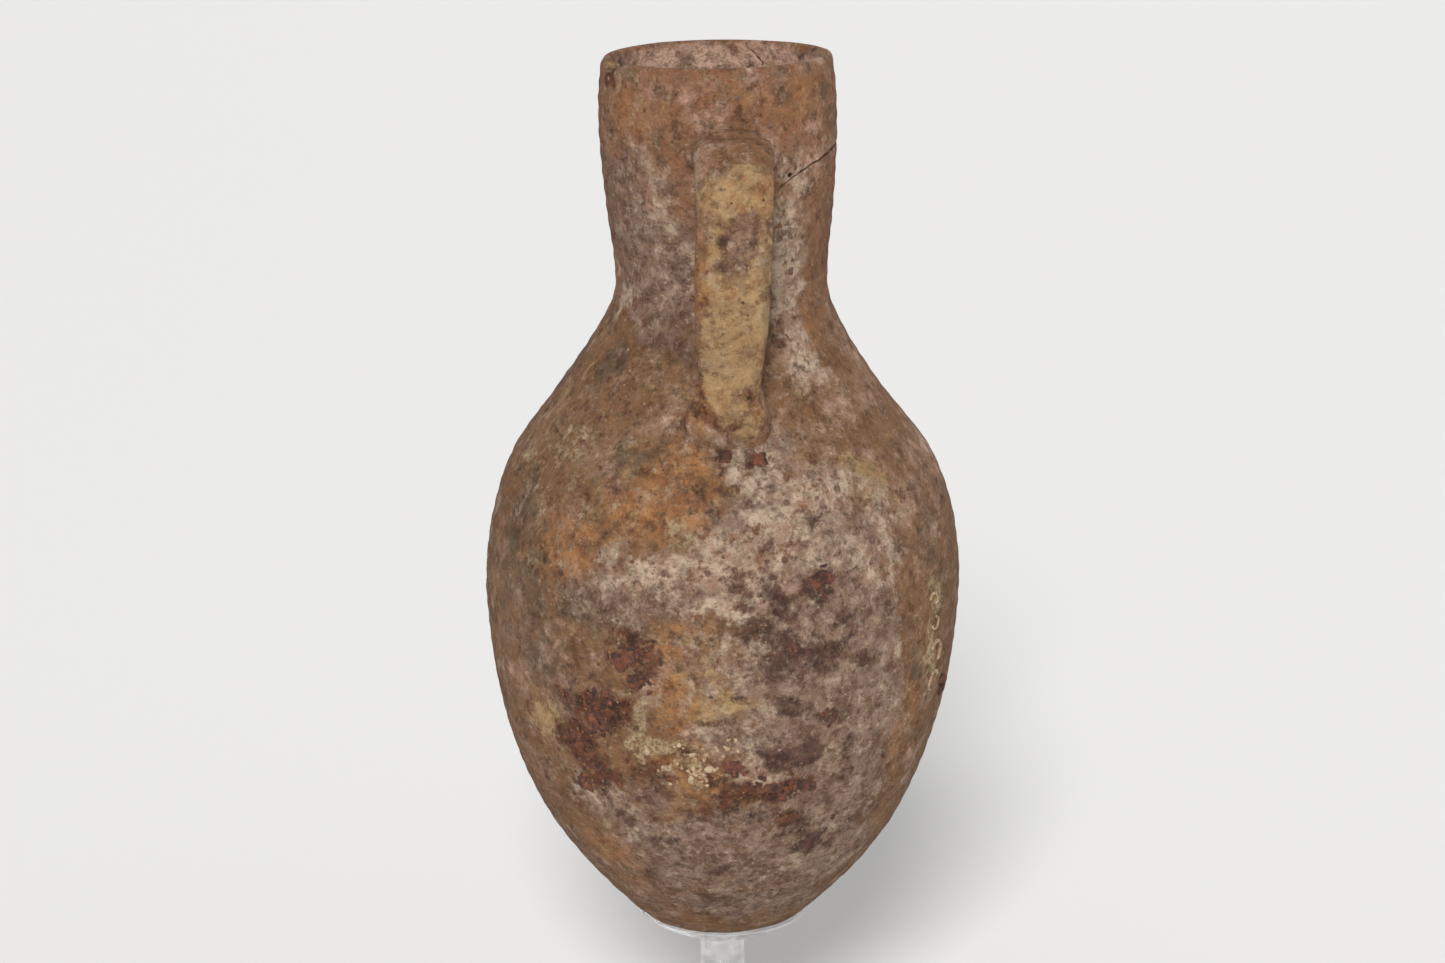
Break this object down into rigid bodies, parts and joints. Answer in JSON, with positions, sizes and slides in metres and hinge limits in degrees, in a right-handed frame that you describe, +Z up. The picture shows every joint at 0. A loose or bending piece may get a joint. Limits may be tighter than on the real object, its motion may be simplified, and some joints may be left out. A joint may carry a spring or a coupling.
{
  "type": "two-handled amphora on a clear display stand",
  "caption": "Ovoid clay amphora with a tall neck, strap handles from neck to shoulder and burial crust, resting in a clear acrylic dish on a stem.",
  "frame": {"origin": "middle of the underside of the stand's base plate, under the vessel's axis", "axes": "+Z up along the vessel's axis; the front handle is on -Y and the back handle on +Y; +X is the viewer's right, where the refitted neck sherd is"},
  "size_m": [0.1644, 0.1644, 0.367],
  "materials": {
    "fired_clay": "unglazed fired earthenware with mottled soil and mineral staining",
    "handle_clay": "unglazed buff earthenware, finely pitted",
    "iron_crust": "rough rust-brown mineral concretion",
    "lime_crust": "matt cream lime deposit",
    "mend_adhesive": "dull brown filled glue line",
    "clear_acrylic": "polished clear acrylic"
  },
  "bodies": {
    "stand": {"stand_dish": "clear_acrylic", "stand_stem": "clear_acrylic", "stand_base": "clear_acrylic"},
    "vessel": {"body": "fired_clay", "neck": "fired_clay", "neck_sherd": "fired_clay", "mend_adhesive": "mend_adhesive", "handle_front": "handle_clay", "handle_back": "handle_clay", "luting_front_upper": "fired_clay", "luting_front_lower": "fired_clay", "luting_back_upper": "fired_clay", "luting_back_lower": "fired_clay", "iron_nodules": "iron_crust", "lime_flakes": "lime_crust", "shell_scars": "lime_crust"}
  },
  "joints": [
    {"name": "vessel_lift", "type": "slide", "parent": "stand", "child": "vessel", "axis": [0, 0, 1], "range_m": [0, 0.1]}
  ]
}
